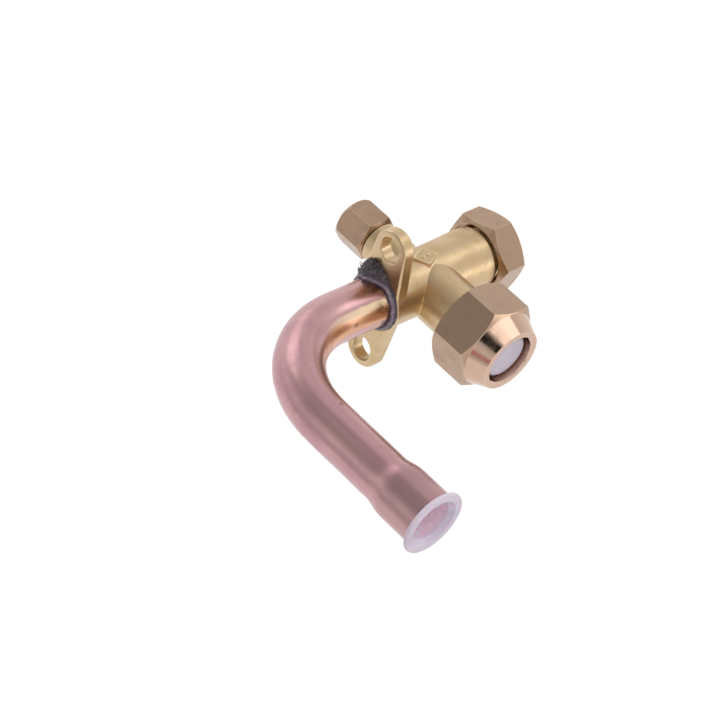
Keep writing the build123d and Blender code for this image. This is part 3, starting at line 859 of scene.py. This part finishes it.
def loop_faces(rings: int, around: int, closed: bool) -> list[Face]:
    """Return the faces between rings of points.

    Args:
        rings: How many rings there are.
        around: How many points each ring has.
        closed: Whether the last ring joins the first.

    Returns:
        Faces, as indices of points.
    """
    faces = []
    for ring in range(rings if closed else rings - 1):
        here = ring * around
        there = (ring + 1) % rings * around
        for step in range(around):
            after = (step + 1) % around
            faces.append((here + step, here + after, there + after, there + step))
    return faces


@dataclass(frozen=True)
class Thread:
    """A right-handed ridge of 60 degrees that winds along a screwed end and fades out at both ends."""

    name: str
    side: Side
    origin: Vector
    start: float
    end: float
    root: float
    crest: float
    pitch: Pitch
    phase: float = 0.0

    steps = 40
    sunk = 0.02 * MM
    base_share = 0.42
    crest_share = 0.06
    lead_in = 0.5
    least = 0.02

    def build(self, finish: Finish, body: str, slot: str) -> bpy.types.Object:
        """Wind the ridge.

        Args:
            finish: What the ridge wears.
            body: The body that carries it.
            slot: The record's material slot of the metal that it is cut in. Not used.

        Returns:
            The ridge.
        """
        lead = self.pitch.value
        turns = (self.end - self.start) / lead
        count = int(turns * self.steps)
        foot = self.root - math.copysign(self.sunk, self.crest - self.root)
        points = []
        for step in range(count + 1):
            wound = step / self.steps
            fade = max(min(1.0, wound / self.lead_in, (turns - wound) / self.lead_in), self.least)
            tip = self.root + (self.crest - self.root) * fade
            reach = self.start + lead * wound
            angle = TAU * (wound + self.phase)
            half_base = lead * self.base_share
            half_crest = half_base + (lead * self.crest_share - half_base) * fade
            section = ((-half_base, foot), (-half_crest, tip), (half_crest, tip), (half_base, foot))
            points += [self.side.point(self.origin, reach + shift, radius, angle)
                       for shift, radius in section]
        faces = loop_faces(count + 1, 4, False)
        last = count * 4
        faces += [(0, 1, 2, 3), (last, last + 1, last + 2, last + 3)]
        return add_piece(self.name, points, faces, finish, body, smooth=False)


@dataclass
class ForgedBody:
    """The forged cross with its flange, its gland thread and what stays inside it."""

    finishes: Finishes
    port: Vector
    bore: float = 6.5 * MM
    bore_crest: float = 5.98 * MM
    bore_thread: Range = (16.5 * MM, 30.0 * MM)
    neck: float = 8.55 * MM
    neck_crest: float = 9.53 * MM
    neck_thread: Range = (43.9 * MM, 48.3 * MM)
    flare_root: float = 10.0 * MM
    flare_crest: float = 11.11 * MM
    flare_thread: Range = (20.9 * MM, 30.6 * MM)
    service_root: float = 4.8 * MM
    service_crest: float = 5.56 * MM
    service_thread: Range = (20.9 * MM, 28.3 * MM)

    def build(self) -> None:
        """Dress the forging and cut its threads."""
        dress(self.finishes.forged, "valve_body")
        dress(self.finishes.steel, "stem_circlip")
        turned = self.finishes.turned
        along_stem = Vector((0, 0, 0))
        Thread("gland_thread", Side.STEM, along_stem, *self.bore_thread, self.bore, self.bore_crest,
               Pitch.STEM, 0.5).build(turned, "root", "forged_brass")
        Thread("stem_neck_thread", Side.STEM, along_stem, *self.neck_thread, self.neck, self.neck_crest,
               Pitch.STEM_CAP).build(turned, "root", "forged_brass")
        Thread("flare_thread", Side.FLARE, self.port, *self.flare_thread, self.flare_root, self.flare_crest,
               Pitch.FLARE).build(turned, "root", "forged_brass")
        Thread("charging_thread", Side.CHARGING, self.port, *self.service_thread, self.service_root,
               self.service_crest, Pitch.CHARGING).build(turned, "root", "forged_brass")


@dataclass
class StemEnd:
    """The stem, its seal and the cap that screws over it."""

    finishes: Finishes
    stem_root: float = 5.9 * MM
    stem_crest: float = 6.42 * MM
    stem_thread: Range = (16.5 * MM, 30.5 * MM)
    cap_root: float = 9.6 * MM
    cap_crest: float = 8.66 * MM
    cap_thread: Range = (43.9 * MM, 48.3 * MM)

    def build(self) -> None:
        """Dress the pieces and cut both threads."""
        dress(self.finishes.turned, "stem")
        dress(self.finishes.rubber, "stem_o_ring")
        dress(self.finishes.washer, "stem_cap_gasket")
        dress(self.finishes.machined, "stem_cap")
        origin = Vector((0, 0, 0))
        Thread("stem_thread", Side.STEM, origin, *self.stem_thread, self.stem_root, self.stem_crest,
               Pitch.STEM).build(self.finishes.turned, "stem", "turned_brass")
        Thread("stem_cap_thread", Side.STEM, origin, *self.cap_thread, self.cap_root, self.cap_crest,
               Pitch.STEM_CAP, 0.5).build(self.finishes.turned, "stem_cap", "machined_brass")


@dataclass
class FlareEnd:
    """The flare nut and the dust plug that it holds."""

    finishes: Finishes
    port: Vector
    root: float = 11.15 * MM
    crest: float = 10.1 * MM
    thread: Range = (20.9 * MM, 30.6 * MM)

    def build(self) -> None:
        """Dress the pieces and cut the nut's thread."""
        dress(self.finishes.machined, "flare_nut")
        dress(self.finishes.plug, "flare_plug")
        Thread("nut_thread", Side.FLARE, self.port, *self.thread, self.root, self.crest, Pitch.FLARE,
               0.5).build(self.finishes.turned, "flare_nut", "machined_brass")


@dataclass
class ChargingEnd:
    """The charging port's cap, its seal and the valve core."""

    finishes: Finishes
    port: Vector
    press: float = 1.5 * MM
    root: float = 5.6 * MM
    crest: float = 4.88 * MM
    thread: Range = (20.9 * MM, 28.3 * MM)

    def build(self) -> None:
        """Dress the pieces and cut the cap's thread."""
        dress(self.finishes.machined, "service_cap")
        dress(self.finishes.seal, "service_cap_gasket", "core_barrel_seal")
        dress(self.finishes.turned, "core_head", "core_barrel", "core_pin", "core_cup")
        dress(self.finishes.steel, "core_spring")
        dress(self.finishes.rubber, "core_washer")
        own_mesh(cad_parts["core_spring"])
        Thread("charging_cap_thread", Side.CHARGING, self.port, *self.thread, self.root, self.crest,
               Pitch.CHARGING, 0.5).build(self.finishes.turned, "service_cap", "machined_brass")


@dataclass
class CopperStub:
    """The bent copper tube with its softly swaged socket, built round the solid's own sizes."""

    radius: float
    depth: float
    run: float
    bend_radius: float
    end: float
    socket_radius: float
    socket_edge: float
    wall: float = 1.0 * MM
    around: int = 80
    stretch: float = 0.9 * MM
    easing: float = 3.4 * MM
    lip: float = 0.22 * MM
    ripple: float = 0.03 * MM
    ripple_grain: float = 9.0 * MM
    ripple_start: float = 2.0 * MM
    ripple_fade: float = 4.0 * MM

    socket_length = 16.1 * MM
    bend_in_radii = 4.0

    @classmethod
    def from_frame(cls) -> "CopperStub":
        """Return the stub with sizes read from the frame's solid."""
        low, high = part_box("copper_tube")
        radius, socket_radius = high[1], high[2]
        bend_radius = cls.bend_in_radii * radius
        run = -low[0] - socket_radius - bend_radius
        return cls(radius, high[0], run, bend_radius, low[1], socket_radius, low[1] + cls.socket_length)

    @property
    def length(self) -> float:
        """Length of the tube along its middle."""
        return self.depth + self.run + self.bend_radius * QUARTER - self.bend_radius - self.end

    def station(self, travelled: float) -> tuple[Vector, Vector]:
        """Return the middle of the tube and the way out of its bend, some way from the seated end.

        Args:
            travelled: Length along the middle, from the seated end.

        Returns:
            The middle, and a unit vector across the tube.
        """
        straight = self.depth + self.run
        turned = min(max((travelled - straight) / self.bend_radius, 0.0), QUARTER)
        across = Vector((-math.sin(turned), math.cos(turned), 0.0))
        centre = Vector((-self.run, -self.bend_radius, 0.0)) + across * self.bend_radius
        before = min(travelled, straight) - straight
        after = max(travelled - straight - self.bend_radius * QUARTER, 0.0)
        return centre + Vector((-before, -after, 0.0)), across

    def outer(self, travelled: float) -> float:
        """Return the outer radius, which swells smoothly into the socket."""
        place = self.length - travelled + self.end
        share = min(max((self.socket_edge + self.easing - place) / (2.0 * self.easing), 0.0), 1.0)
        swell = share * share * (3.0 - 2.0 * share)
        return self.radius + (self.socket_radius - self.radius) * swell

    def profile(self) -> list[tuple[float, float]]:
        """Return the wall's closed section, as (length along the middle, radius) pairs."""
        count = int(self.length / self.stretch)
        stops = [self.lip + (self.length - 2.0 * self.lip) * step / count for step in range(count + 1)]
        outside = [(stop, self.outer(stop)) for stop in stops]
        inside = [(stop, radius - self.wall) for stop, radius in reversed(outside)]
        far = [(self.length, inside[0][1] + self.wall - self.lip), (self.length, inside[0][1] + self.lip)]
        near = [(0.0, self.radius - self.wall + self.lip), (0.0, self.radius - self.lip)]
        return outside + far + inside + near

    def build(self, finish: Finish) -> None:
        """Sweep the wall's section along the bend.

        Args:
            finish: What the tube wears.
        """
        points = []
        section = self.profile()
        for travelled, radius in section:
            centre, across = self.station(travelled)
            free = min(max(travelled - self.depth - self.ripple_start, 0.0) / self.ripple_fade, 1.0)
            for step in range(self.around):
                angle = TAU * step / self.around
                out = across * math.cos(angle) + Vector((0, 0, math.sin(angle)))
                spot = centre + out * radius
                sag = self.ripple * free * (solid_noise.noise(spot / self.ripple_grain) - 1.0)
                points.append(spot + out * sag)
        faces = loop_faces(len(section), self.around, True)
        piece = add_piece("copper_stub", points, faces, finish, "root")
        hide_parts("copper_tube")


@dataclass
class BrazedJoint:
    """The brazing fillet round the tube and the burnt flux that lies over it."""

    finishes: Finishes
    tube: float
    ring: float = 9.75 * MM
    ring_length: float = 1.65 * MM
    lump_rise: float = 4.4 * MM
    lump_length: float = 4.2 * MM
    lump_middle: float = math.radians(70.0)
    lump_spread: float = math.radians(44.0)
    lump_point: float = 1.15
    low_side: float = math.radians(238.0)
    around: int = 300
    rows: int = 22
    grains: tuple[Range, ...] = ((0.55 * MM, 0.15 * MM), (0.22 * MM, 0.06 * MM))
    crumbs: int = 46
    crumb_size: Range = (0.14, 0.34)
    shards: int = 12
    shard_lean: float = 0.7
    shard_length: Range = (0.8, 1.7)
    shard_width: Range = (0.35, 0.75)
    shard_depth: Range = (0.14, 0.30)
    seed: int = 7

    def build(self) -> None:
        """Dress the fillet and grow the crust."""
        dress(self.finishes.braze, "braze_ring")
        points, faces = self._crust()
        for grow in (self._add_crumbs, self._add_shards):
            grow(points, faces, random.Random(self.seed))
        piece = add_piece("burnt_crust", points, faces, self.finishes.flux, "root",
                          smooth=False)
        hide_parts("flux_crust")

    def _lump(self, angle: float) -> float:
        """Return how much of the lump stands at an angle from +Y towards +Z, from 0 to 1."""
        away = (angle - self.lump_middle + TAU / 2) % TAU - TAU / 2
        return max(0.0, 1.0 - abs(away) / self.lump_spread) ** self.lump_point

    @staticmethod
    def _rough(angle: float, scale: float, seed: float) -> float:
        """Return noise round the ring, from -1 to 1."""
        return solid_noise.noise(Vector((math.cos(angle) * scale, math.sin(angle) * scale, seed)))

    def _edge(self, angle: float) -> tuple[float, float]:
        """Return the crust's outer radius and its length along the tube at an angle."""
        lump = self._lump(angle)
        jagged = self._rough(angle, 14.0, 1.0)
        rim = self.ring + (0.12 * self._rough(angle, 4.0, 2.0) + 0.08 * jagged) * MM
        ragged = 0.45 * self._rough(angle, 12.0, 4.0) + 0.22 * self._rough(angle, 30.0, 5.0)
        rise = lump * self.lump_rise * (1.0 + ragged)
        length = self.ring_length + 0.20 * MM * self._rough(angle, 6.0, 3.0) + lump * self.lump_length * 0.8
        return rim + rise, length * (1.0 + 0.15 * jagged)

    def _crust(self) -> tuple[list[Vector], list[Face]]:
        """Return the ring of crust with its lump, as points and faces."""
        points: list[Vector] = []
        for step in range(self.around):
            angle = TAU * step / self.around
            radius, length = self._edge(angle)
            lump = self._lump(angle)
            out = Vector((0.0, math.cos(angle), math.sin(angle)))
            for row in range(self.rows):
                share = row / (self.rows - 1) * QUARTER
                reach = length * math.sin(share) ** (1.2 - 0.3 * lump)
                height = self.tube + (radius - self.tube) * math.cos(share) ** (0.8 + 1.1 * lump)
                spot = out * height - Vector((reach, 0.0, 0.0))
                lift = sum(solid_noise.noise(spot / size) * depth for size, depth in self.grains)
                lift *= min(1.0, 3.0 * math.sin(share)) * (0.18 + 1.35 * lump)
                points.append(spot + (out * math.cos(share) - Vector((math.sin(share), 0.0, 0.0))) * lift)
            points.append(out * self.tube)
        return points, loop_faces(self.around, self.rows + 1, True)

    def _place(self, draw: random.Random) -> tuple[float, float, float]:
        """Return a random angle on the crust, with the outer radius and length there."""
        on_lump = draw.random() < 0.6
        angle = draw.gauss(self.lump_middle, 0.42) if on_lump else draw.gauss(self.low_side, 0.5)
        radius, length = self._edge(angle)
        return angle, radius, length

    def _add_crumbs(self, points: list[Vector], faces: list[Face], draw: random.Random) -> None:
        """Scatter small uneven crumbs over the crust."""
        for _ in range(self.crumbs):
            angle, radius, length = self._place(draw)
            size = draw.uniform(*self.crumb_size) * MM
            out = Vector((0.0, math.cos(angle), math.sin(angle)))
            share = draw.random()
            height = self.tube + (radius - self.tube) * (1.0 - share * 0.7)
            middle = out * height - Vector((length * share * 0.8, 0.0, 0.0))
            first = len(points)
            ball = bmesh.new()
            bmesh.ops.create_icosphere(ball, subdivisions=2, radius=size)
            for corner in ball.verts:
                swell = 1.0 + 0.6 * solid_noise.noise((middle + corner.co) / (0.2 * MM))
                points.append(middle + corner.co * swell)
            faces += [tuple(first + corner.index for corner in face.verts) for face in ball.faces]
            ball.free()

    def _add_shards(self, points: list[Vector], faces: list[Face], draw: random.Random) -> None:
        """Stand thin broken flakes up on the lump."""
        for _ in range(self.shards):
            angle = self.lump_middle + draw.uniform(-1.0, 1.0) * self.lump_spread * 0.9
            radius, length = self._edge(angle)
            out = Vector((0.0, math.cos(angle), math.sin(angle)))
            round_way = Vector((0.0, -math.sin(angle), math.cos(angle)))
            root = out * (radius - 0.5 * MM) - Vector((length * draw.random() * 0.5, 0.0, 0.0))
            lean = out + round_way * draw.uniform(-self.shard_lean, self.shard_lean)
            lean += Vector((draw.uniform(-self.shard_lean, 0.0), 0.0, 0.0))
            tip = root + lean.normalized() * draw.uniform(*self.shard_length) * MM
            wide = round_way * (draw.uniform(*self.shard_width) * MM)
            thin = Vector((draw.uniform(*self.shard_depth) * MM, 0.0, 0.0))
            first = len(points)
            points += [root + wide, root - thin, root - wide, root + thin, tip]
            faces += [(first + at, first + (at + 1) % 4, first + 4) for at in range(4)]
            faces.append((first, first + 1, first + 2, first + 3))


@dataclass
class LinePlug:
    """The dust plug in the free end of the stub."""

    finishes: Finishes

    def build(self) -> None:
        """Dress the plug."""
        dress(self.finishes.cup, "tube_plug")


def main() -> None:
    """Build the scene in order."""
    logging.basicConfig(level=logging.INFO, format="%(message)s")
    stub = CopperStub.from_frame()
    finishes = Finishes(stub)
    plug_low, plug_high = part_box("flare_plug")
    port = Vector(((plug_low[0] + plug_high[0]) / 2.0, 0.0, 0.0))
    ForgedBody(finishes, port).build()
    StemEnd(finishes).build()
    FlareEnd(finishes, port).build()
    ChargingEnd(finishes, port).build()
    stub.build(finishes.copper)
    BrazedJoint(finishes, stub.radius + 0.01 * MM).build()
    LinePlug(finishes).build()
    Studio().build()


if __name__ == "__main__":
    main()
